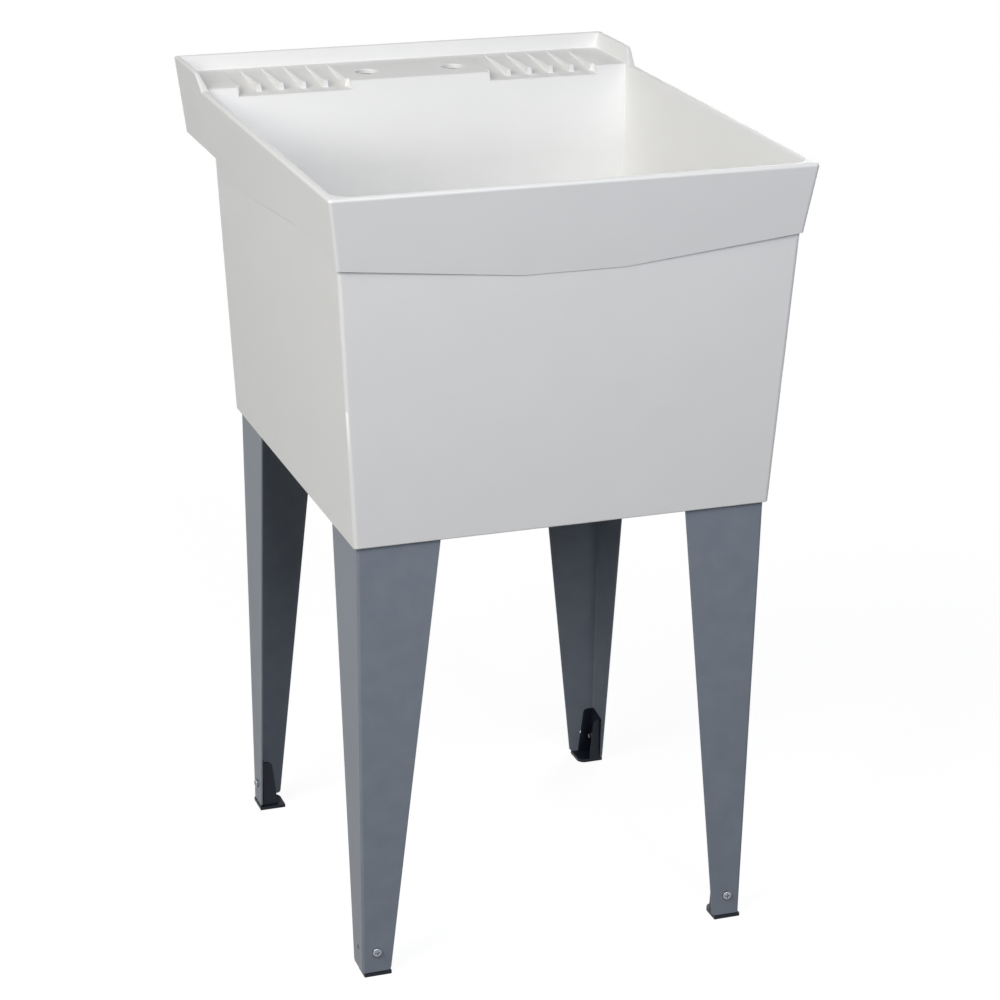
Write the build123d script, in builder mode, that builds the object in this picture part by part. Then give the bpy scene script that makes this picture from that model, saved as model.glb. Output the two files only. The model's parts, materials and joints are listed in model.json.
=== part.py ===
"""Floor-standing utility laundry sink.

One-piece moulded tub with a faucet ledge, on four tapered steel legs with
levelling feet, and a drain with a lift-out stopper.  Millimetres, +Z up,
front of the sink towards -Y, origin on the floor under the middle.
"""

from build123d import *
from math import asin, cos, degrees, radians, tan
import os

os.makedirs("parts", exist_ok=True)

# ---------------------------------------------------------------- overall
total_width = 510.6  # across the top of the ledge lip
total_depth = 605.0  # front of the rim to the back of the ledge
total_height = 865.0  # floor to the top of the ledge lip
ledge_rise = 17.0  # lip above the rim and the faucet deck
body_height = 362.0  # rim to the lower edge of the tub

# ---------------------------------------------- collar round the top
collar_draft = 7.8  # degrees, front and sides
ledge_back_draft = 0.8
collar_height = 96.0  # deepest part of the collar
collar_step = 2.06  # the collar stands this far outside the body
front_step = 3.15
front_drop_corner = 72.5  # rim to the collar's lower edge at the front corners
front_drop_middle = 92.5  # and along the flat middle of the front
front_flat = 108.0  # length of that flat middle
side_drop = 62.5  # rim to the level part of the side's lower edge
side_level = 162.0  # front of the rim to where that edge starts to fall
side_fall = 5.43  # degrees
corner_column = 13.5  # the front's edge is carried round the corner this far
ledge_drop = 70.0  # rim to the underside of the ledge skirt
ledge_reach = 142.0  # back of the ledge to the collar's own back face
corner_radius = 10.0  # the body's and the collar's back corners
front_corner = 4.5  # the body's front corners
collar_corner = 4.0
ledge_corner_radius = 10.0
rim_width = 8.6
rim_outer_round = 3.0
rim_inner_round = 2.4

# ------------------------------------------------------------------ body
body_side_draft = 3.46
body_front_draft = 1.87
body_back_draft = 0.12
ledge_overhang = 123.5  # body's back face to the back of the ledge
body_lap = 26.0  # body runs up inside the collar
body_edge_round = 1.5
wall = 5.0
hollow_clear = 3.0  # body's back face to the foot of the ledge's hollow

# ------------------------------------------------------------------ bowl
bowl_depth = 328.0  # rim to the foot of the walls
bowl_shelf = 104.0  # bowl's back edge to the back of the ledge
flare_height = 88.0  # the walls curve outwards over this height
flare_power = 1.8
flare_sections = 5
bowl_front_corner = 19.0  # corner radii at the rim
bowl_back_corner = 28.0
bowl_corner_bottom = 40.0
bowl_floor_round = 30.0
floor_fall = 4.0  # the floor falls this much towards the drain
floor_fall_radius = 165.0
floor_thickness = 9.0

# ------------------------------------------------------------ faucet ledge
deck_side_margin = 8.7  # lip foot to the ledge's outer face
deck_back_margin = 8.0
lip_top_width = 4.8
lip_root = 8.0  # lip laps the ledge below deck level
lip_run = 20.0  # slope of the lip's front ends
lip_lead = 10.0  # lip foot in front of the bowl's back edge
lip_round = 2.2
lip_crest = 8.0  # where the front ends meet the top
deck_corner_radius = 24.0
deck_thickness = 5.0
faucet_spacing = 101.6
faucet_hole = 26.0
faucet_setback = 40.0  # bowl's back edge to the holes
faucet_hole_round = 1.2
faucet_pad = 152.0  # width of the raised roof behind the holes

channel_count = 5
channel_pitch = 25.4
channel_start = 81.8  # middle of the sink to each group
channel_length = 90.0
channel_fall = 9.0
channel_margin = 1.0  # the mouth is this much wider than the channels
fin_top = 3.2
fin_base = 7.4
fin_chamfer = 0.8
fin_setback = 10.0
mouth_round = 1.6

# -------------------------------------------------------------------- legs
leg_inset = 4.1  # inside the tub's faces at its lower edge
leg_lean = 0.58  # degrees both ways, tops apart
leg_sheet = 1.6
leg_bend = 3.0
leg_bottom_width = 31.0
leg_top_width = 92.7
leg_corner_round = 4.0
pocket_depth = 44.0  # the leg reaches this far up into the tub
pocket_clearance = 0.15
pocket_rib = 4.0
pocket_end = 8.0
foot_hole_height = 28.0
foot_hole = 5.6

# -------------------------------------------------------------------- feet
foot_web = 26.8  # outside width of the upright channel
foot_plate_depth = 29.6
foot_plate_lip = 2.8  # plate beyond the tall wall
foot_overhang = 0.9  # plate beyond the leg's face at the web
foot_plate_thickness = 4.0
foot_gap = 0.3
foot_wall = 2.5
foot_bend = 2.2
foot_tall = 59.0  # the two side walls differ in height and depth
foot_low = 55.0
tall_wall_base = 19.0
tall_wall_top = 12.0
low_wall_base = 13.5
low_wall_top = 8.0
foot_wall_round = 5.0
foot_round_corner = 9.0
foot_small_corner = 5.0
foot_travel = 16.0
slot_play = 0.5

screw_diameter = 5.0
screw_length = 13.0
screw_head = 10.0
screw_head_height = 3.0
screw_head_round = 1.6
recess_length = 5.4
recess_width = 1.2
recess_depth = 1.5
thread_clearance = 0.03
nut_width = 8.0
nut_thickness = 4.0

# ------------------------------------------------------------------- drain
drain_setback = 262.55  # front of the rim to the drain
drain_boss = 88.0
drain_boss_drop = 4.0
drain_recess = 76.0
drain_recess_depth = 3.0
drain_hole_play = 0.5
strainer_flange = 74.0
strainer_flange_thickness = 2.5
strainer_body = 47.0
strainer_bore = 38.0
strainer_length = 41.0  # below the flange
seat_top = 43.0
seat_bottom = 39.5
seat_depth = 12.0
crossbar_width = 3.0
crossbar_height = 4.0
crossbar_drop = 26.0
gasket_width = 12.0
gasket_thickness = 3.0
locknut_width = 66.0
locknut_thickness = 9.0
washer_thickness = 2.0
tailpiece_diameter = 38.1
tailpiece_wall = 1.2
tailpiece_length = 68.0
tailpiece_flange = 46.0
tailpiece_flange_thickness = 1.6
coupling_width = 57.0
coupling_height = 20.0
coupling_lip = 3.0
coupling_play = 0.8  # lip's hole round the tailpiece

stopper_gap = 0.3
stopper_depth = 10.0
stopper_cap = 48.0
stopper_cap_height = 4.0
stopper_cap_round = 1.2
post_width = 8.0
post_thickness = 5.0
post_height = 10.0
post_eye = 5.0
ring_wire = 2.0
ring_diameter = 22.0
ring_play = 0.1

# -------------------------------------------------------- derived positions
rim_z = total_height - ledge_rise
bottom_z = rim_z - body_height
collar_slope = tan(radians(collar_draft))
back_slope = tan(radians(ledge_back_draft))


def rounding_loss(radius, draft):
    """How far a rounded top edge stays inside the drafted face's own corner."""
    return radius * (tan(radians(draft)) + 1 / cos(radians(draft)) - 1)


front_y = -total_depth / 2 - rounding_loss(rim_outer_round, collar_draft)
back_y = total_depth / 2 + rounding_loss(lip_round, ledge_back_draft)
side_slope = tan(radians(body_side_draft))
front_slope = tan(radians(body_front_draft))
rear_slope = tan(radians(body_back_draft))
lean = tan(radians(leg_lean))
lip_half = total_width / 2 + rounding_loss(lip_round, collar_draft)
rim_half = lip_half - ledge_rise * collar_slope
step_z = rim_z - front_drop_corner
collar_back_y = back_y - ledge_reach
bowl_back_y = back_y - bowl_shelf
bowl_floor_z = rim_z - bowl_depth
floor_z = bowl_floor_z - floor_thickness
ledge_z = rim_z - ledge_drop
over = 20.0  # cutting solids run this far past what they cut


def collar_half(z):
    return rim_half + (z - rim_z) * collar_slope


def collar_front(z):
    return front_y - (z - rim_z) * collar_slope


def ledge_back(z):
    return back_y + (z - total_height) * back_slope


def body_half(z):
    return collar_half(step_z) - collar_step + (z - step_z) * side_slope


def body_front(z):
    return collar_front(step_z) + front_step - (z - step_z) * front_slope


def body_back(z):
    return back_y - ledge_overhang + (z - step_z) * rear_slope


def flare(z):
    """0 up to where the bowl's walls start to curve outwards, 1 at the rim."""
    return max(0.0, (z - rim_z + flare_height) / flare_height) ** flare_power


def box_outline(z, half, front, back, front_radius, back_radius):
    """Level rectangle with rounded corners at height z."""
    with BuildSketch(Plane.XY.offset(z)) as profile:
        with Locations((0, (front + back) / 2)):
            Rectangle(2 * half, back - front)
        front_pair = profile.vertices().group_by(Axis.Y)[0]
        back_pair = profile.vertices().group_by(Axis.Y)[-1]
        fillet(front_pair, front_radius)
        fillet(back_pair, back_radius)
    return profile.sketch


def bowl_outline(z):
    """The bowl's inside at height z: a wall inside the body, plus the flare."""
    half = body_half(z) - wall
    front = body_front(z) + wall
    back = body_back(z) - wall
    half += flare(z) * (rim_half - rim_width - body_half(rim_z) + wall)
    front += flare(z) * (front_y + rim_width - body_front(rim_z) - wall)
    back += flare(z) * (bowl_back_y - body_back(rim_z) + wall)
    share = (z - bowl_floor_z) / bowl_depth
    front_radius = bowl_corner_bottom + share * (bowl_front_corner - bowl_corner_bottom)
    back_radius = bowl_corner_bottom + share * (bowl_back_corner - bowl_corner_bottom)
    return box_outline(z, half, front, back, front_radius, back_radius)


# ==================================================================== tub
# The bowl's inside, as two solids to take away: straight walls, then the flare.
flare_z = rim_z - flare_height
flare_step = flare_height / flare_sections
drain_y = front_y + drain_setback

with BuildPart() as bowl:
    loft([bowl_outline(bowl_floor_z), bowl_outline(flare_z)])
    fillet(bowl.faces().sort_by(Axis.Z)[0].edges(), bowl_floor_round)
    with BuildSketch(Plane.XZ.offset(-drain_y)) as floor_dish:
        Polygon(
            (0, bowl_floor_z + 1),
            (floor_fall_radius, bowl_floor_z + 1),
            (floor_fall_radius, bowl_floor_z),
            (drain_recess / 2, bowl_floor_z - floor_fall),
            (0, bowl_floor_z - floor_fall),
            align=None,
        )
    revolve(axis=Axis((0, drain_y, 0), (0, 0, 1)))

with BuildPart() as bowl_flare:
    loft([bowl_outline(flare_z + k * flare_step) for k in range(flare_sections + 2)])

# Faucet ledge seen from below: hollow, with the deck as its roof.
roof_z = rim_z - channel_fall - deck_thickness
pad_z = rim_z - deck_thickness

with BuildPart() as ledge_hollow:
    hollow_sections = []
    hollow_foot_y = body_back(ledge_z) + hollow_clear
    for z in (ledge_z, roof_z):
        hollow_front = hollow_foot_y + (z - ledge_z) * (bowl_back_y + wall - hollow_foot_y) / ledge_drop
        hollow_sections.append(
            box_outline(z, collar_half(z) - wall, hollow_front, ledge_back(z) - wall, 3.0, 3.0)
        )
    loft(hollow_sections, ruled=True)
    with BuildSketch(Plane.XY.offset(roof_z)) as pad_hollow:
        with Locations((0, (bowl_back_y + 2 * wall + ledge_back(roof_z) - 2 * wall) / 2)):
            RectangleRounded(faucet_pad, ledge_back(roof_z) - bowl_back_y - 4 * wall, 3.0)
    extrude(amount=pad_z - roof_z)

# Drying channels: fins between them stay level with the deck.
channel_half = channel_pitch / 2
group_centre = channel_start + channel_count * channel_half
channel_drop = channel_fall + 4.0
side_in = (fin_base - fin_top) / 2

with BuildPart() as channels:
    with BuildSketch(Plane.XZ.offset(-bowl_back_y - fin_setback)) as sections:
        with Locations((group_centre, rim_z), (-group_centre, rim_z)):
            with GridLocations(channel_pitch, 1, channel_count, 1):
                Polygon(
                    (-channel_half + fin_top / 2, 2),
                    (-channel_half + fin_top / 2, 0),
                    (-channel_half + fin_top / 2 + fin_chamfer, -fin_chamfer),
                    (-channel_half + fin_top / 2 + side_in, -channel_drop),
                    (channel_half - fin_top / 2 - side_in, -channel_drop),
                    (channel_half - fin_top / 2 - fin_chamfer, -fin_chamfer),
                    (channel_half - fin_top / 2, 0),
                    (channel_half - fin_top / 2, 2),
                    align=None,
                )
    extrude(amount=-(channel_length - fin_setback))
    mouth_width = channel_count * channel_pitch + 2 * channel_margin
    with BuildSketch(Plane.XZ.offset(-bowl_back_y + over)) as mouths:
        with Locations((group_centre, rim_z), (-group_centre, rim_z)):
            Rectangle(mouth_width, 2 * channel_drop)
    extrude(amount=-(over + fin_setback))
    with BuildSketch(Plane.YZ) as channel_side:
        with Locations((bowl_back_y, rim_z)):
            Polygon(
                (channel_length, 0),
                (-over, -channel_fall * (1 + over / channel_length)),
                (-over, 2),
                (channel_length, 2),
                align=None,
            )
    extrude(amount=total_width, both=True, mode=Mode.INTERSECT)

# Raised lip along the sides and back of the ledge; the back is the splash.
lip_foot_y = bowl_back_y - lip_lead
inner_low = rim_half - deck_side_margin
inner_back_low = ledge_back(rim_z) - deck_back_margin
inner_high = lip_half - lip_top_width
inner_back_high = back_y - lip_top_width

with BuildPart() as lip:
    lip_sections = [
        box_outline(
            z, collar_half(z), front_y, ledge_back(z), ledge_corner_radius, ledge_corner_radius
        )
        for z in (rim_z - lip_root, total_height)
    ]
    loft(lip_sections)
    split(bisect_by=Plane(origin=(0, lip_foot_y, rim_z), x_dir=(1, 0, 0), z_dir=(0, ledge_rise, -lip_run)))
    with BuildSketch(Plane.XY.offset(rim_z - lip_root)) as deck_gap:
        with Locations((0, (inner_back_low + front_y) / 2)):
            Rectangle(2 * inner_low, inner_back_low - front_y)
        fillet(deck_gap.vertices().group_by(Axis.Y)[-1], deck_corner_radius)
    extrude(amount=lip_root, mode=Mode.SUBTRACT)
    rise = 2.0 / ledge_rise
    gap_sections = [
        box_outline(rim_z, inner_low, front_y, inner_back_low, 5.0, deck_corner_radius),
        box_outline(
            total_height + 2.0,
            inner_high + rise * (inner_high - inner_low),
            front_y,
            inner_back_high + rise * (inner_back_high - inner_back_low),
            5.0,
            deck_corner_radius + 2.0,
        ),
    ]
    loft(gap_sections, mode=Mode.SUBTRACT)
    crest_edges = lip.faces().sort_by(Axis.Z)[-1].edges().group_by(Axis.Y)[0]
    fillet(crest_edges, lip_crest)
    fillet(lip.faces().sort_by(Axis.Z)[-1].edges(), lip_round)

# Space under the floor, inside the skirt, with a pocket wall at each leg.
pocket_wall = leg_inset + leg_sheet + 2 * pocket_clearance + pocket_rib
boss_length = leg_inset + leg_top_width + pocket_clearance + pocket_end
body_middle_y = (body_front(bottom_z) + body_back(bottom_z)) / 2
body_deep = body_back(bottom_z) - body_front(bottom_z)
body_wide = 2 * body_half(bottom_z)

with BuildPart() as underside:
    with BuildSketch(Plane.XY.offset(bottom_z)) as underside_plan:
        with Locations((0, body_middle_y)):
            Rectangle(body_wide - 2 * pocket_wall, body_deep - 2 * pocket_wall)
            Rectangle(body_wide - 2 * boss_length, body_deep - 2 * wall)
            Rectangle(body_wide - 2 * wall, body_deep - 2 * boss_length)
    extrude(amount=floor_z - bottom_z)
    with BuildSketch(Plane.XY.offset(floor_z)) as boss_plan:
        with Locations((0, drain_y)):
            Circle(drain_boss / 2)
    extrude(amount=-drain_boss_drop, mode=Mode.SUBTRACT)

# Body of the tub below the collar.
with BuildPart() as body:
    loft(
        [
            box_outline(
                z, body_half(z), body_front(z), body_back(z), front_corner, corner_radius
            )
            for z in (bottom_z, step_z + body_lap)
        ]
    )
    fillet(body.faces().sort_by(Axis.Z)[0].edges(), body_edge_round)

# Leg frame: at the outer corner of the bend, on the floor, leaning outwards.
leg_frame = Plane(origin=(0, 0, 0), x_dir=(1, 0, lean), z_dir=(-lean, -lean, 1))
leg_top = bottom_z + pocket_depth
leg_bottom = foot_plate_thickness + foot_gap
leg_taper = (leg_top_width - leg_bottom_width) / (leg_top - leg_bottom)
foot_offset = leg_sheet + foot_gap + foot_web / 2  # leg's face to the foot's middle
hole_along = foot_offset + lean * foot_hole_height
leg_corner_x = body_half(bottom_z) - leg_inset - bottom_z * lean
leg_corner_front = body_front(bottom_z) + leg_inset + bottom_z * lean
leg_corner_back = body_back(bottom_z) - leg_inset - bottom_z * lean
corners = {
    "front_left": Location((-leg_corner_x, leg_corner_front, 0), (0, 0, 0)),
    "front_right": Location((leg_corner_x, leg_corner_front, 0), (0, 0, 90)),
    "back_right": Location((leg_corner_x, leg_corner_back, 0), (0, 0, 180)),
    "back_left": Location((-leg_corner_x, leg_corner_back, 0), (0, 0, 270)),
}
front_flange = Plane(leg_frame.location * Plane.XZ.location)  # seen from outside
side_flange = Plane(leg_frame.location * Plane.YZ.location)  # seen from inside


def leg_width(z):
    return leg_bottom_width + (z - leg_bottom) * leg_taper


def angle_sheet(low, clear):
    """Tapered angle of bent sheet in the leg frame, from low up to its top."""
    with BuildPart() as angle:
        for plane, inward in ((front_flange, -1), (side_flange, 1)):
            with BuildSketch(plane.offset(-inward * clear)) as flange:
                Polygon(
                    (-clear, low),
                    (leg_width(low) + clear, low),
                    (leg_top_width + clear, leg_top),
                    (-clear, leg_top),
                    align=None,
                )
                free_corner = flange.vertices().group_by(Axis.Y)[0].sort_by(Axis.X)[-1]
                fillet(free_corner, leg_corner_round)
            extrude(amount=inward * (leg_sheet + 2 * clear))
        along = Axis((0, 0, 0), leg_frame.z_dir)
        fillet(angle.edges().filter_by(along).sort_by(Axis.X)[-1], leg_bend - leg_sheet - clear)
        fillet(angle.edges().filter_by(along).sort_by(Axis.X)[0], leg_bend + clear)
    return angle.part


with BuildPart() as leg_slots:
    for corner in corners.values():
        with Locations(corner):
            add(angle_sheet(bottom_z - over, pocket_clearance))

with BuildPart() as tub:
    # Collar, and the ledge block behind it.
    loft(
        [
            box_outline(
                z,
                collar_half(z),
                collar_front(z),
                ledge_back(z),
                collar_corner,
                ledge_corner_radius,
            )
            for z in (ledge_z, rim_z)
        ]
    )
    fillet(tub.faces().sort_by(Axis.Z)[-1].edges(), rim_outer_round)
    loft(
        [
            box_outline(
                z, collar_half(z), collar_front(z), collar_back_y, collar_corner, corner_radius
            )
            for z in (rim_z - collar_height, ledge_z + over / 2)
        ]
    )
    # Its lower edge: a shallow point at the front, a falling line on the sides.
    column_y = front_y + corner_column
    edge_half = collar_half(step_z)
    middle_z = rim_z - front_drop_middle
    with BuildSketch(Plane.XZ.offset(-column_y)) as front_edge:
        Polygon(
            (-total_width, step_z),
            (-edge_half, step_z),
            (-front_flat / 2, middle_z),
            (front_flat / 2, middle_z),
            (edge_half, step_z),
            (total_width, step_z),
            (total_width, bottom_z),
            (-total_width, bottom_z),
            align=None,
        )
    extrude(amount=over + corner_column, mode=Mode.SUBTRACT)
    level_y = front_y + side_level
    side_z = rim_z - side_drop
    end_y = collar_back_y + over / 2
    with BuildSketch(Plane.YZ) as side_edge:
        Polygon(
            (column_y, side_z),
            (level_y, side_z),
            (end_y, side_z - (end_y - level_y) * tan(radians(side_fall))),
            (end_y, bottom_z),
            (column_y, bottom_z),
            align=None,
        )
    extrude(amount=total_width, both=True, mode=Mode.SUBTRACT)
    add(body.part)
    # Bowl, then the ledge's hollow, channels and lip.
    add(bowl.part, mode=Mode.SUBTRACT)
    add(bowl_flare.part, mode=Mode.SUBTRACT)
    rim_edges = tub.faces().sort_by(Axis.Z)[-1].inner_wires()[0].edges()
    fillet(rim_edges, rim_inner_round)
    add(ledge_hollow.part, mode=Mode.SUBTRACT)
    add(channels.part, mode=Mode.SUBTRACT)
    mouth_edges = tub.edges().filter_by(
        lambda edge: abs(edge.length - mouth_width) < 1 and edge.center().Y < bowl_back_y
    )
    fillet(mouth_edges, mouth_round)
    add(lip.part)
    with BuildSketch(Plane.XY.offset(rim_z)) as faucet_holes:
        with Locations((0, bowl_back_y + faucet_setback)):
            with GridLocations(faucet_spacing, 1, 2, 1):
                Circle(faucet_hole / 2)
    extrude(amount=-2 * deck_thickness, mode=Mode.SUBTRACT)
    hole_edges = tub.edges().filter_by(GeomType.CIRCLE).filter_by(
        lambda edge: abs(edge.radius - faucet_hole / 2) < 0.01
    )
    fillet(hole_edges.group_by(Axis.Z)[-1], faucet_hole_round)
    # Underside, leg pockets and the drain's seat.
    add(underside.part, mode=Mode.SUBTRACT)
    add(leg_slots.part, mode=Mode.SUBTRACT)
    seat_z = bowl_floor_z - floor_fall
    with BuildSketch(Plane.XY.offset(seat_z - drain_recess_depth)) as drain_seat:
        with Locations((0, drain_y)):
            Circle(drain_recess / 2)
    extrude(amount=drain_recess_depth + 1, mode=Mode.SUBTRACT)
    with BuildSketch(Plane.XY.offset(floor_z - over)) as drain_opening:
        with Locations((0, drain_y)):
            Circle(strainer_body / 2 + drain_hole_play)
    extrude(amount=3 * over, mode=Mode.SUBTRACT)
tub.part.label = "tub"
export_step(tub.part, "parts/tub.step")

# ==================================================================== legs
hole_z = foot_hole_height

with BuildPart() as leg:
    add(angle_sheet(leg_bottom, 0))
    for plane, inward in ((front_flange, -1), (side_flange, 1)):
        with BuildSketch(plane) as flange_hole:
            with Locations((hole_along, hole_z)):
                Circle(foot_hole / 2)
        extrude(amount=inward * 2 * leg_sheet, mode=Mode.SUBTRACT)

for name, corner in corners.items():
    with BuildPart() as placed_leg:
        with Locations(corner):
            add(leg.part)
    placed_leg.part.label = f"leg_{name}"
    export_step(placed_leg.part, f"parts/leg_{name}.step")

# ==================================================================== feet
# One moulded foot.  Its slotted web is on the -Y side, its walls on both X sides.
web_y = -foot_web / 2
plate_front = web_y - leg_sheet - foot_gap - foot_overhang
web_z = foot_plate_thickness / 2
slot_width = screw_diameter + 2 * slot_play

with BuildPart() as foot:
    with BuildSketch() as plate_plan:
        with Locations((foot_plate_lip / 2, plate_front + foot_plate_depth / 2)):
            Rectangle(foot_web + foot_plate_lip, foot_plate_depth)
        back_corners = plate_plan.vertices().group_by(Axis.Y)[-1].sort_by(Axis.X)
        fillet(back_corners[0], foot_round_corner)
        fillet(back_corners[-1], foot_small_corner)
    extrude(amount=foot_plate_thickness)
    with BuildSketch(Plane.XZ.offset(-web_y)) as web_face:
        Polygon(
            (-foot_web / 2, web_z),
            (foot_web / 2, web_z),
            (foot_web / 2, foot_tall),
            (foot_web / 2 - foot_wall, foot_tall),
            (foot_wall - foot_web / 2, foot_low),
            (-foot_web / 2, foot_low),
            align=None,
        )
    extrude(amount=-foot_wall)
    walls = (
        (-foot_web / 2, 1, low_wall_base, low_wall_top, foot_low),
        (foot_web / 2, -1, tall_wall_base, tall_wall_top, foot_tall),
    )
    for wall_x, inward, base, top, height in walls:
        with BuildSketch(Plane.YZ.offset(wall_x)) as wall_face:
            Polygon(
                (web_y, web_z),
                (web_y + base, web_z),
                (web_y + top, height),
                (web_y, height),
                align=None,
            )
            free_top = wall_face.vertices().group_by(Axis.Y)[-1].sort_by(Axis.X)[-1]
            fillet(free_top, foot_wall_round)
        extrude(amount=inward * foot_wall)
    with BuildSketch(Plane.XZ.offset(-web_y)) as slot_face:
        with Locations((0, hole_z + foot_travel / 2)):
            SlotCenterToCenter(foot_travel, slot_width, rotation=90)
    extrude(amount=-foot_wall, mode=Mode.SUBTRACT)
    outer_bends = foot.edges().filter_by(Axis.Z).filter_by(
        lambda edge: abs(edge.center().Y - web_y) < 0.01
    )
    fillet(outer_bends, foot_bend)

foot_turns = {"front_left": 0, "front_right": 0, "back_right": 90, "back_left": -90}
for name, turn in foot_turns.items():
    foot_x = leg_corner_x - foot_offset
    if "left" in name:
        foot_x = -foot_x
    foot_y = leg_corner_back - foot_offset if "back" in name else leg_corner_front + foot_offset
    with BuildPart() as placed_foot:
        with Locations(Location((foot_x, foot_y, 0), (0, 0, turn))):
            add(foot.part)
    placed_foot.part.label = f"foot_{name}"
    export_step(placed_foot.part, f"parts/foot_{name}.step")

# Foot screw, its head's seat at the origin and its shank down -Z.
with BuildPart() as screw:
    with BuildSketch() as head_plan:
        Circle(screw_head / 2)
    extrude(amount=screw_head_height)
    fillet(screw.faces().sort_by(Axis.Z)[-1].edges(), screw_head_round)
    with BuildSketch(Plane.XY.offset(screw_head_height)) as cross_plan:
        Rectangle(recess_length, recess_width)
        Rectangle(recess_width, recess_length)
    extrude(amount=-recess_depth, mode=Mode.SUBTRACT)
    with BuildSketch() as shank_plan:
        Circle(screw_diameter / 2)
    extrude(amount=-screw_length)
    chamfer(screw.faces().sort_by(Axis.Z)[0].edges(), 0.1 * screw_diameter)

# Hexagon nut behind the foot's web.
nut_depth = leg_sheet + foot_gap + lean * (hole_z + nut_width) + foot_wall + foot_gap

with BuildPart() as nut:
    with BuildSketch(Plane.XY.offset(-nut_depth)) as nut_plan:
        RegularPolygon(nut_width / 2, 6, major_radius=False)
        Circle(screw_diameter / 2 + thread_clearance, mode=Mode.SUBTRACT)
    extrude(amount=-nut_thickness)

# A screw enters the front flange at the front and the side flange at the back.
through_front = front_flange.location * Location((hole_along, hole_z, 0))
through_side = side_flange.location * Location((hole_along, hole_z, 0), (0, 180, 0))
screw_places = {
    "front_left": corners["front_left"] * through_front,
    "front_right": corners["front_right"] * through_side,
    "back_right": corners["back_right"] * through_side,
    "back_left": corners["back_left"] * through_front,
}
for name, place in screw_places.items():
    with BuildPart() as placed_screw:
        with Locations(place):
            add(screw.part)
    placed_screw.part.label = f"foot_screw_{name}"
    export_step(placed_screw.part, f"parts/foot_screw_{name}.step")
    with BuildPart() as placed_nut:
        with Locations(place):
            add(nut.part)
    placed_nut.part.label = f"foot_nut_{name}"
    export_step(placed_nut.part, f"parts/foot_nut_{name}.step")

# ==================================================================== drain
flange_under_z = seat_z - drain_recess_depth
flange_top_z = flange_under_z + strainer_flange_thickness
strainer_end_z = flange_under_z - strainer_length
boss_z = floor_z - drain_boss_drop

with BuildPart() as strainer:
    with BuildSketch(Plane.XY.offset(flange_top_z)) as flange_plan:
        with Locations((0, drain_y)):
            Circle(strainer_flange / 2)
    extrude(amount=-strainer_flange_thickness)
    fillet(strainer.faces().sort_by(Axis.Z)[-1].edges(), 0.4 * strainer_flange_thickness)
    with BuildSketch(Plane.XY.offset(flange_under_z)) as barrel_plan:
        with Locations((0, drain_y)):
            Circle(strainer_body / 2)
    extrude(amount=-strainer_length)
    with BuildSketch(Plane.XZ.offset(-drain_y)) as throat:
        Polygon(
            (0, flange_top_z + 1),
            (seat_top / 2, flange_top_z + 1),
            (seat_top / 2, flange_top_z),
            (seat_bottom / 2, flange_top_z - seat_depth),
            (strainer_bore / 2, flange_top_z - seat_depth),
            (strainer_bore / 2, strainer_end_z - 1),
            (0, strainer_end_z - 1),
            align=None,
        )
    revolve(axis=Axis((0, drain_y, 0), (0, 0, 1)), mode=Mode.SUBTRACT)
    with BuildSketch(Plane.XY.offset(flange_top_z - crossbar_drop)) as crossbars:
        with Locations((0, drain_y)):
            Rectangle(strainer_bore + 1, crossbar_width)
            Rectangle(crossbar_width, strainer_bore + 1)
    extrude(amount=-crossbar_height)
strainer.part.label = "drain_strainer"
export_step(strainer.part, "parts/drain_strainer.step")

barrel_hole = strainer_body / 2 + thread_clearance

with BuildPart() as gasket:
    with BuildSketch(Plane.XY.offset(boss_z)) as gasket_plan:
        with Locations((0, drain_y)):
            Circle(strainer_body / 2 + gasket_width)
            Circle(barrel_hole, mode=Mode.SUBTRACT)
    extrude(amount=-gasket_thickness)
gasket.part.label = "drain_gasket"
export_step(gasket.part, "parts/drain_gasket.step")

locknut_z = boss_z - gasket_thickness
with BuildPart() as locknut:
    with BuildSketch(Plane.XY.offset(locknut_z)) as locknut_plan:
        with Locations((0, drain_y)):
            RegularPolygon(locknut_width / 2, 8, major_radius=False)
            Circle(barrel_hole, mode=Mode.SUBTRACT)
    extrude(amount=-locknut_thickness)
locknut.part.label = "drain_locknut"
export_step(locknut.part, "parts/drain_locknut.step")

pipe_bore = tailpiece_diameter / 2 - tailpiece_wall
pipe_flange_z = strainer_end_z - washer_thickness
with BuildPart() as washer:
    with BuildSketch(Plane.XY.offset(strainer_end_z)) as washer_plan:
        with Locations((0, drain_y)):
            Circle(tailpiece_flange / 2)
            Circle(pipe_bore, mode=Mode.SUBTRACT)
    extrude(amount=-washer_thickness)
washer.part.label = "tailpiece_washer"
export_step(washer.part, "parts/tailpiece_washer.step")

with BuildPart() as tailpiece:
    with BuildSketch(Plane.XY.offset(pipe_flange_z)) as pipe_flange:
        with Locations((0, drain_y)):
            Circle(tailpiece_flange / 2)
    extrude(amount=-tailpiece_flange_thickness)
    with BuildSketch(Plane.XY.offset(pipe_flange_z)) as pipe:
        with Locations((0, drain_y)):
            Circle(tailpiece_diameter / 2)
    extrude(amount=-tailpiece_length)
    with BuildSketch(Plane.XY.offset(pipe_flange_z)) as pipe_inside:
        with Locations((0, drain_y)):
            Circle(pipe_bore)
    extrude(amount=-tailpiece_length, mode=Mode.SUBTRACT)
tailpiece.part.label = "tailpiece"
export_step(tailpiece.part, "parts/tailpiece.step")

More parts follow.
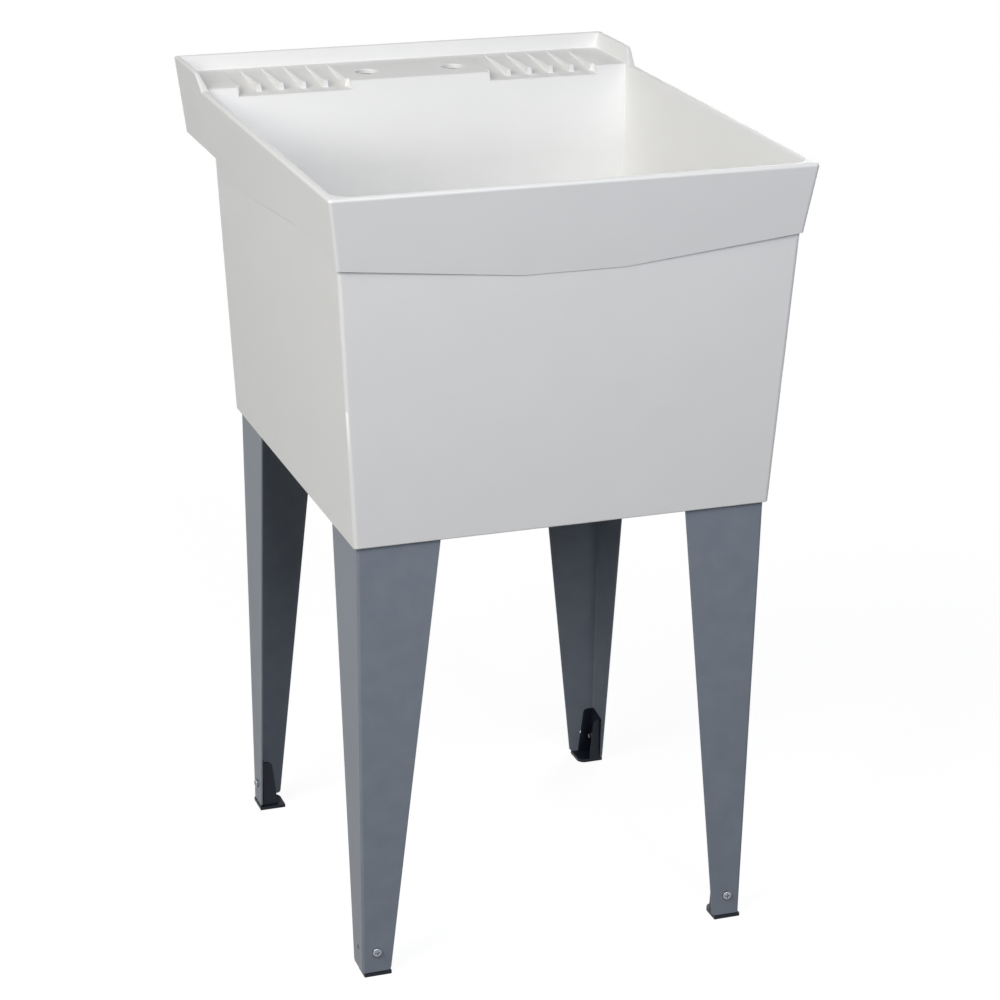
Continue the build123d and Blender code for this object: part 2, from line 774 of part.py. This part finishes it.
lip_z = pipe_flange_z - tailpiece_flange_thickness
with BuildPart() as coupling_nut:
    with BuildSketch(Plane.XY.offset(lip_z - coupling_lip)) as coupling_plan:
        with Locations((0, drain_y)):
            RegularPolygon(coupling_width / 2, 6, major_radius=False)
            Circle(tailpiece_diameter / 2 + coupling_play, mode=Mode.SUBTRACT)
    extrude(amount=coupling_height)
    with BuildSketch(Plane.XY.offset(lip_z)) as coupling_thread:
        with Locations((0, drain_y)):
            Circle(barrel_hole)
    extrude(amount=coupling_height, mode=Mode.SUBTRACT)
coupling_nut.part.label = "coupling_nut"
export_step(coupling_nut.part, "parts/coupling_nut.step")

# ================================================================== stopper
cap_z = flange_top_z + stopper_gap
cap_top_z = cap_z + stopper_cap_height
eye_z = cap_top_z + post_height - post_width / 2
taper = (seat_top - seat_bottom) / 2 / seat_depth
plug_top = seat_top / 2 - stopper_gap

with BuildPart() as stopper:
    with BuildSketch(Plane.XZ.offset(-drain_y)) as plug_half:
        Polygon(
            (0, cap_z + 1),
            (plug_top, cap_z + 1),
            (plug_top, flange_top_z),
            (plug_top - taper * stopper_depth, flange_top_z - stopper_depth),
            (0, flange_top_z - stopper_depth),
            align=None,
        )
    revolve(axis=Axis((0, drain_y, 0), (0, 0, 1)))
    with BuildSketch(Plane.XY.offset(cap_z)) as cap_plan:
        with Locations((0, drain_y)):
            Circle(stopper_cap / 2)
    extrude(amount=stopper_cap_height)
    fillet(stopper.faces().sort_by(Axis.Z)[-1].edges(), stopper_cap_round)
    with BuildSketch(Plane.YZ) as post_face:
        with Locations((drain_y, eye_z)):
            Circle(post_width / 2)
        with Locations((drain_y, (eye_z + cap_top_z - 1) / 2)):
            Rectangle(post_width, eye_z - cap_top_z + 1)
        with Locations((drain_y, eye_z)):
            Circle(post_eye / 2, mode=Mode.SUBTRACT)
    extrude(amount=post_thickness / 2, both=True)
stopper.part.label = "stopper"
export_step(stopper.part, "parts/stopper.step")

# Pull ring through the post's eye, tipped over onto the cap.
ring_eye_z = eye_z - post_eye / 2 + ring_wire / 2 + ring_play
ring_low_z = cap_top_z + ring_wire / 2 + stopper_gap
ring_tip = degrees(asin((ring_eye_z - ring_low_z) / ring_diameter))
ring_frame = Plane(Location((0, drain_y, ring_eye_z), (ring_tip, 0, 0)))

with BuildPart() as pull_ring:
    with BuildSketch(Plane(ring_frame.location * Plane.YZ.location)) as wire:
        Circle(ring_wire / 2)
    middle = Plane(ring_frame.location * Location((0, ring_diameter / 2, 0)))
    revolve(axis=Axis(middle.origin, middle.z_dir))
pull_ring.part.label = "pull_ring"
export_step(pull_ring.part, "parts/pull_ring.step")
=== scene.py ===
"""Utility laundry sink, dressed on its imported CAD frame.

A deep tub moulded in one piece stands on four legs of bent, painted steel with black
moulded levelling feet.  Metres, +Z up, the front faces -Y, the floor is at z = 0.
"""

import json
import math

import bmesh
import bpy
from mathutils import Matrix, Vector

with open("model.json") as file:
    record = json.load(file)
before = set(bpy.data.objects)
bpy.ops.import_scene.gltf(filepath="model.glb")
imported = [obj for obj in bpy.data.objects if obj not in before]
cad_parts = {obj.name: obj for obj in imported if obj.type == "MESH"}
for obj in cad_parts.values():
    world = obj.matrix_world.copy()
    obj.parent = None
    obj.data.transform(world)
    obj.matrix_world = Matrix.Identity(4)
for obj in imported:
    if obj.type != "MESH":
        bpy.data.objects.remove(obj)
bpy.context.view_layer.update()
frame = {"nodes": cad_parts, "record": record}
nodes = frame["nodes"]
scene = bpy.context.scene

MM = 0.001

# ------------------------------------------------------------------ materials
# Where a colour mix node has its factor, its two colours and its result.
MIX_FACTOR = 0
MIX_FIRST = 6
MIX_SECOND = 7
MIX_RESULT = 2

# Nearly all values of a noise texture lie in this range.
NOISE_RANGE = {"From Min": 0.3, "From Max": 0.7}


def linear(hex_colour):
    """An sRGB hex colour as the linear one that shaders take."""
    channels = [int(hex_colour[i : i + 2], 16) / 255 for i in (1, 3, 5)]
    straight = [c / 12.92 if c <= 0.04045 else ((c + 0.055) / 1.055) ** 2.4 for c in channels]
    return (*straight, 1.0)


def per_mm(size):
    """Noise scale at which one patch is that many millimetres across."""
    return 1 / (size * MM)


def add_node(tree, kind, settings=(), links=()):
    """Adds a node, sets its properties and inputs, and links its other inputs.

    An input goes by its name, or by its place where the node has several of that name.
    """
    node = tree.nodes.new(kind)
    for name, value in dict(settings).items():
        if isinstance(name, str) and hasattr(node, name):
            setattr(node, name, value)
        else:
            node.inputs[name].default_value = value
    for name, socket in dict(links).items():
        tree.links.new(socket, node.inputs[name])
    return node


def start_material(name):
    """An empty node material, and the object's own coordinates for its patterns."""
    material = bpy.data.materials.new(name)
    material.use_nodes = True
    tree = material.node_tree
    tree.nodes.clear()
    return material, tree, add_node(tree, "ShaderNodeTexCoord").outputs["Object"]


def end_material(tree, settings, links):
    """The surface shader with its constants and patterns, and the output."""
    surface = add_node(tree, "ShaderNodeBsdfPrincipled", settings, links)
    add_node(tree, "ShaderNodeOutputMaterial", links={"Surface": surface.outputs["BSDF"]})


def moulded_tub_plastic():
    """White polypropylene, filled and moulded: a low, broad gloss over fine mould grain.

    The filler lies in faint, paler clouds, and the skin is a little duller in them.
    """
    material, tree, place = start_material("moulded white polypropylene")
    clouds = add_node(
        tree, "ShaderNodeTexNoise", {"Scale": per_mm(45), "Detail": 3}, {"Vector": place}
    )
    colour = add_node(
        tree,
        "ShaderNodeMix",
        {"data_type": "RGBA", MIX_FIRST: linear("#eeeeec"), MIX_SECOND: linear("#f2f2f0")},
        {MIX_FACTOR: clouds.outputs["Fac"]},
    )
    dullness = add_node(
        tree,
        "ShaderNodeMapRange",
        {**NOISE_RANGE, "To Min": 0.38, "To Max": 0.48},
        {"Value": clouds.outputs["Fac"]},
    )
    # The real grain is 0.3 mm across, drawn at 0.8 mm so that it shows.
    grain = add_node(
        tree, "ShaderNodeTexNoise", {"Scale": per_mm(0.8), "Detail": 1}, {"Vector": place}
    )
    grainy = add_node(
        tree, "ShaderNodeBump", {"Distance": 0.02 * MM}, {"Height": grain.outputs["Fac"]}
    )
    # The walls sink a little as they cool, in slow waves about 30 mm long.
    waves = add_node(
        tree, "ShaderNodeTexNoise", {"Scale": per_mm(30), "Detail": 1}, {"Vector": place}
    )
    wavy = add_node(
        tree,
        "ShaderNodeBump",
        {"Distance": 0.08 * MM},
        {"Height": waves.outputs["Fac"], "Normal": grainy.outputs["Normal"]},
    )
    end_material(
        tree,
        {"IOR": 1.49},
        {
            "Base Color": colour.outputs[MIX_RESULT],
            "Roughness": dullness.outputs["Result"],
            "Normal": wavy.outputs["Normal"],
        },
    )
    return material


def baked_leg_paint():
    """Blue-grey enamel, sprayed and baked on steel: a weak satin gloss and slight orange peel.

    The coat is a little paler and duller in soft clouds.
    """
    material, tree, place = start_material("baked grey enamel")
    clouds = add_node(
        tree, "ShaderNodeTexNoise", {"Scale": per_mm(25), "Detail": 3}, {"Vector": place}
    )
    colour = add_node(
        tree,
        "ShaderNodeMix",
        {"data_type": "RGBA", MIX_FIRST: linear("#7e8692"), MIX_SECOND: linear("#8f97a0")},
        {MIX_FACTOR: clouds.outputs["Fac"]},
    )
    dullness = add_node(
        tree,
        "ShaderNodeMapRange",
        {**NOISE_RANGE, "To Min": 0.36, "To Max": 0.44},
        {"Value": clouds.outputs["Fac"]},
    )
    # The orange peel has its real size, 1.6 mm from bump to bump.
    peel = add_node(
        tree, "ShaderNodeTexNoise", {"Scale": per_mm(1.6), "Detail": 1}, {"Vector": place}
    )
    peeled = add_node(
        tree, "ShaderNodeBump", {"Distance": 0.015 * MM}, {"Height": peel.outputs["Fac"]}
    )
    end_material(
        tree,
        {"Specular IOR Level": 0.15},
        {
            "Base Color": colour.outputs[MIX_RESULT],
            "Roughness": dullness.outputs["Result"],
            "Normal": peeled.outputs["Normal"],
        },
    )
    return material


def moulded_foot_plastic():
    """Black polypropylene, moulded: nearly black with a blue cast, and only a soft sheen."""
    material, tree, place = start_material("moulded black polypropylene")
    clouds = add_node(
        tree, "ShaderNodeTexNoise", {"Scale": per_mm(6), "Detail": 2}, {"Vector": place}
    )
    colour = add_node(
        tree,
        "ShaderNodeMix",
        {"data_type": "RGBA", MIX_FIRST: linear("#10151d"), MIX_SECOND: linear("#1b222e")},
        {MIX_FACTOR: clouds.outputs["Fac"]},
    )
    dullness = add_node(
        tree,
        "ShaderNodeMapRange",
        {**NOISE_RANGE, "To Min": 0.4, "To Max": 0.5},
        {"Value": clouds.outputs["Fac"]},
    )
    # Spark-eroded mould grain, 0.2 mm in life and drawn at 0.6 mm so that it shows.
    grain = add_node(
        tree, "ShaderNodeTexNoise", {"Scale": per_mm(0.6), "Detail": 1}, {"Vector": place}
    )
    grainy = add_node(
        tree, "ShaderNodeBump", {"Distance": 0.012 * MM}, {"Height": grain.outputs["Fac"]}
    )
    end_material(
        tree,
        {"IOR": 1.49, "Specular IOR Level": 0.25},
        {
            "Base Color": colour.outputs[MIX_RESULT],
            "Roughness": dullness.outputs["Result"],
            "Normal": grainy.outputs["Normal"],
        },
    )
    return material


def zinc_plate():
    """Steel, electroplated with zinc: a clouded mid grey with a faint blue cast and a glint."""
    material, tree, place = start_material("zinc plated steel")
    clouds = add_node(
        tree, "ShaderNodeTexNoise", {"Scale": per_mm(2.5), "Detail": 3}, {"Vector": place}
    )
    colour = add_node(
        tree,
        "ShaderNodeMix",
        {"data_type": "RGBA", MIX_FIRST: linear("#73797f"), MIX_SECOND: linear("#a2a8ae")},
        {MIX_FACTOR: clouds.outputs["Fac"]},
    )
    dullness = add_node(
        tree,
        "ShaderNodeMapRange",
        {**NOISE_RANGE, "To Min": 0.22, "To Max": 0.38},
        {"Value": clouds.outputs["Fac"]},
    )
    # The plate's crystals are far under 0.1 mm in life, and drawn at 0.5 mm so that they show.
    crystals = add_node(
        tree, "ShaderNodeTexNoise", {"Scale": per_mm(0.5), "Detail": 1}, {"Vector": place}
    )
    crystalline = add_node(
        tree, "ShaderNodeBump", {"Distance": 0.008 * MM}, {"Height": crystals.outputs["Fac"]}
    )
    end_material(
        tree,
        {"Metallic": 1.0},
        {
            "Base Color": colour.outputs[MIX_RESULT],
            "Roughness": dullness.outputs["Result"],
            "Normal": crystalline.outputs["Normal"],
        },
    )
    return material


def moulded_drain_plastic():
    """White ABS, moulded in polished tools: smoother and glossier than the tub."""
    material, tree, place = start_material("moulded white ABS")
    flow = add_node(
        tree, "ShaderNodeTexNoise", {"Scale": per_mm(14), "Detail": 2}, {"Vector": place}
    )
    colour = add_node(
        tree,
        "ShaderNodeMix",
        {"data_type": "RGBA", MIX_FIRST: linear("#dfdedb"), MIX_SECOND: linear("#e9e8e5")},
        {MIX_FACTOR: flow.outputs["Fac"]},
    )
    dullness = add_node(
        tree,
        "ShaderNodeMapRange",
        {**NOISE_RANGE, "To Min": 0.18, "To Max": 0.28},
        {"Value": flow.outputs["Fac"]},
    )
    # The polish is finer than any render shows, so its ripple is drawn at 0.7 mm.
    ripple = add_node(
        tree, "ShaderNodeTexNoise", {"Scale": per_mm(0.7), "Detail": 1}, {"Vector": place}
    )
    rippled = add_node(
        tree, "ShaderNodeBump", {"Distance": 0.005 * MM}, {"Height": ripple.outputs["Fac"]}
    )
    end_material(
        tree,
        {"IOR": 1.53},
        {
            "Base Color": colour.outputs[MIX_RESULT],
            "Roughness": dullness.outputs["Result"],
            "Normal": rippled.outputs["Normal"],
        },
    )
    return material


def pressed_rubber(name, dark, light):
    """Rubber, pressed and cured in a mould: matt, with a dusty bloom over fine grain."""
    material, tree, place = start_material(name)
    bloom = add_node(
        tree, "ShaderNodeTexNoise", {"Scale": per_mm(5), "Detail": 4}, {"Vector": place}
    )
    colour = add_node(
        tree,
        "ShaderNodeMix",
        {"data_type": "RGBA", MIX_FIRST: linear(dark), MIX_SECOND: linear(light)},
        {MIX_FACTOR: bloom.outputs["Fac"]},
    )
    dullness = add_node(
        tree,
        "ShaderNodeMapRange",
        {**NOISE_RANGE, "To Min": 0.6, "To Max": 0.8},
        {"Value": bloom.outputs["Fac"]},
    )
    # Mould grain, 0.2 mm in life and drawn at 0.7 mm so that it shows.
    grain = add_node(
        tree, "ShaderNodeTexNoise", {"Scale": per_mm(0.7), "Detail": 2}, {"Vector": place}
    )
    grainy = add_node(
        tree, "ShaderNodeBump", {"Distance": 0.03 * MM}, {"Height": grain.outputs["Fac"]}
    )
    end_material(
        tree,
        {"IOR": 1.52},
        {
            "Base Color": colour.outputs[MIX_RESULT],
            "Roughness": dullness.outputs["Result"],
            "Normal": grainy.outputs["Normal"],
        },
    )
    return material


def cut_polyethylene():
    """Natural polyethylene, cut from sheet: milky, and waxy in its gloss."""
    material, tree, place = start_material("cut natural polyethylene")
    milk = add_node(
        tree, "ShaderNodeTexNoise", {"Scale": per_mm(4), "Detail": 2}, {"Vector": place}
    )
    colour = add_node(
        tree,
        "ShaderNodeMix",
        {"data_type": "RGBA", MIX_FIRST: linear("#c9c9c1"), MIX_SECOND: linear("#dfdfd9")},
        {MIX_FACTOR: milk.outputs["Fac"]},
    )
    dullness = add_node(
        tree,
        "ShaderNodeMapRange",
        {**NOISE_RANGE, "To Min": 0.34, "To Max": 0.44},
        {"Value": milk.outputs["Fac"]},
    )
    end_material(
        tree,
        {"IOR": 1.51},
        {"Base Color": colour.outputs[MIX_RESULT], "Roughness": dullness.outputs["Result"]},
    )
    return material


def polished_chrome():
    """Chrome plate on drawn steel wire: a clean mirror, a little hazed by handling."""
    material, tree, place = start_material("polished chrome plate")
    haze = add_node(
        tree, "ShaderNodeTexNoise", {"Scale": per_mm(3), "Detail": 3}, {"Vector": place}
    )
    colour = add_node(
        tree,
        "ShaderNodeMix",
        {"data_type": "RGBA", MIX_FIRST: linear("#d5d6d9"), MIX_SECOND: linear("#eceded")},
        {MIX_FACTOR: haze.outputs["Fac"]},
    )
    dullness = add_node(
        tree,
        "ShaderNodeMapRange",
        {**NOISE_RANGE, "To Min": 0.05, "To Max": 0.14},
        {"Value": haze.outputs["Fac"]},
    )
    end_material(
        tree,
        {"Metallic": 1.0},
        {"Base Color": colour.outputs[MIX_RESULT], "Roughness": dullness.outputs["Result"]},
    )
    return material


FINISHES = {
    "tub_plastic": moulded_tub_plastic(),
    "leg_paint": baked_leg_paint(),
    "foot_plastic": moulded_foot_plastic(),
    "zinc_plate": zinc_plate(),
    "drain_plastic": moulded_drain_plastic(),
    "gasket_rubber": pressed_rubber("pressed gasket rubber", "#151516", "#272728"),
    "washer_plastic": cut_polyethylene(),
    "stopper_rubber": pressed_rubber("pressed stopper rubber", "#212223", "#353637"),
    "ring_steel": polished_chrome(),
}
for part in frame["record"]["subparts"]:
    for slot in nodes[part["node"]].material_slots:
        slot.material = FINISHES[part["material_slot"]]

# ---------------------------------------------------------------------- stage
FLOOR_RADIUS = 14  # metres: white floor and white world meet there unseen
FLOOR_SIDES = 96
FLOOR_DROP = 0.2 * MM  # below the foot plates, which would share its plane otherwise
FLOOR_PAINT = "#7c7c7c"
NEAR_GLOW = 0.9  # with the lamps' light on the paint this comes to white
SHADE_REACH = 0.7  # metres from the sink's middle, as far as shade shows in full
WHITE_REACH = 1.6  # metres from the sink's middle, where no shade shows
WHITE = "#ffffff"
AMBIENT = 0.03
LAMP_AIM = Vector((0, 0, 0.55))  # in the lower part of the tub

# Azimuth and elevation in degrees, distance and side in metres, watts, and the light's colour.
LAMPS = {
    "left_front_box": (-62, 35, 3.8, 2.2, 90.0, (1.0, 0.965, 0.91)),  # the main light, warm
    "front_box": (0, 35, 2.6, 1.4, 31.5, (0.88, 0.91, 1.0)),  # a cooler one for the front
    "left_box": (-92, 22, 2.6, 1.4, 4.0, (0.5, 0.7, 1.0)),  # a trace of blue on the left
    "right_back_box": (135, 12, 3.8, 2.2, 60.0, (1.0, 1.0, 1.0)),  # for the back and right
}


def straight_rays(tree):
    """1 for the rays that show a background: the camera's, mirrored and through glass."""
    path = add_node(tree, "ShaderNodeLightPath").outputs
    total = path["Is Camera Ray"]
    for kind in ("Is Glossy Ray", "Is Transmission Ray"):
        larger = add_node(
            tree, "ShaderNodeMath", {"operation": "MAXIMUM"}, {0: total, 1: path[kind]}
        )
        total = larger.outputs["Value"]
    return total


def studio_floor():
    """Pale floor paint: white to the eye, a little darker where the sink shades it.

    The glow is for straight rays only: what lights the sink from below is the paint alone.
    """
    material, tree, place = start_material("pale floor paint")
    paint = add_node(tree, "ShaderNodeBsdfDiffuse", {"Color": linear(FLOOR_PAINT)})
    away = add_node(tree, "ShaderNodeVectorMath", {"operation": "LENGTH"}, {"Vector": place})
    far = add_node(
        tree,
        "ShaderNodeMapRange",
        {"From Min": SHADE_REACH, "From Max": WHITE_REACH},
        {"Value": away.outputs["Value"]},
    )
    pale = add_node(tree, "ShaderNodeEmission", {"Strength": NEAR_GLOW})
    shaded = add_node(
        tree,
        "ShaderNodeAddShader",
        links={0: paint.outputs["BSDF"], 1: pale.outputs["Emission"]},
    )
    white = add_node(tree, "ShaderNodeEmission", {"Strength": 1.0})
    seen = add_node(
        tree,
        "ShaderNodeMixShader",
        links={
            "Fac": far.outputs["Result"],
            1: shaded.outputs["Shader"],
            2: white.outputs["Emission"],
        },
    )
    floor = add_node(
        tree,
        "ShaderNodeMixShader",
        links={
            "Fac": straight_rays(tree),
            1: paint.outputs["BSDF"],
            2: seen.outputs["Shader"],
        },
    )
    add_node(tree, "ShaderNodeOutputMaterial", links={"Surface": floor.outputs["Shader"]})
    return material


def round_floor():
    """A wide disc for the sink to stand on."""
    mesh = bpy.data.meshes.new("floor")
    shape = bmesh.new()
    bmesh.ops.create_circle(shape, cap_ends=True, radius=FLOOR_RADIUS, segments=FLOOR_SIDES)
    shape.to_mesh(mesh)
    shape.free()
    floor = bpy.data.objects.new("floor", mesh)
    scene.collection.objects.link(floor)
    floor.location.z = -FLOOR_DROP
    mesh.materials.append(studio_floor())


def white_world():
    """Even light all round, and white behind everything."""
    world = bpy.data.worlds.new("studio")
    scene.world = world
    world.use_nodes = True
    tree = world.node_tree
    tree.nodes.clear()
    dim = add_node(tree, "ShaderNodeBackground", {"Color": linear(WHITE), "Strength": AMBIENT})
    white = add_node(tree, "ShaderNodeBackground", {"Color": linear(WHITE), "Strength": 1.0})
    seen = add_node(
        tree,
        "ShaderNodeMixShader",
        links={
            "Fac": straight_rays(tree),
            1: dim.outputs["Background"],
            2: white.outputs["Background"],
        },
    )
    add_node(tree, "ShaderNodeOutputWorld", links={"Surface": seen.outputs["Shader"]})


def softbox(name, azimuth, elevation, distance, side, watts, colour):
    """A square lamp that faces the tub: azimuth turns from the front towards the right."""
    turn = math.radians(azimuth)
    tilt = math.radians(elevation)
    way = Vector(
        (math.sin(turn) * math.cos(tilt), -math.cos(turn) * math.cos(tilt), math.sin(tilt))
    )
    lamp = bpy.data.lights.new(name, "AREA")
    lamp.shape = "SQUARE"
    lamp.size = side
    lamp.energy = watts
    lamp.color = colour
    holder = bpy.data.objects.new(name, lamp)
    scene.collection.objects.link(holder)
    holder.location = LAMP_AIM + way * distance
    holder.rotation_euler = way.to_track_quat("Z", "Y").to_euler()


round_floor()
white_world()
for lamp_name, lamp_settings in LAMPS.items():
    softbox(lamp_name, *lamp_settings)

# --------------------------------------------------------------------- camera
SENSOR_WIDTH = 36  # mm
LENS = 102.694  # mm
CAMERA_PLACE = (-0.9707, -2.7929, 1.5163)
CAMERA_YAW = 19.69  # degrees, from straight ahead towards the right
CAMERA_DIP = 20.44  # degrees, down from the horizon
CAMERA_ROLL = 0.69  # degrees, with its right side raised

yaw, dip, roll = (math.radians(angle) for angle in (CAMERA_YAW, CAMERA_DIP, CAMERA_ROLL))
ahead = Vector((math.sin(yaw) * math.cos(dip), math.cos(yaw) * math.cos(dip), -math.sin(dip)))
level = ahead.cross(Vector((0, 0, 1))).normalized()
upright = level.cross(ahead)
right = level * math.cos(roll) + upright * math.sin(roll)
up = upright * math.cos(roll) - level * math.sin(roll)
turned = Matrix((right, up, -ahead)).transposed().to_4x4()

camera_data = bpy.data.cameras.new("camera")
camera_data.sensor_width = SENSOR_WIDTH
camera_data.sensor_fit = "HORIZONTAL"
camera_data.lens = LENS
camera = bpy.data.objects.new("camera", camera_data)
scene.collection.objects.link(camera)
camera.matrix_world = Matrix.Translation(CAMERA_PLACE) @ turned
scene.camera = camera
scene.view_settings.view_transform = "Standard"
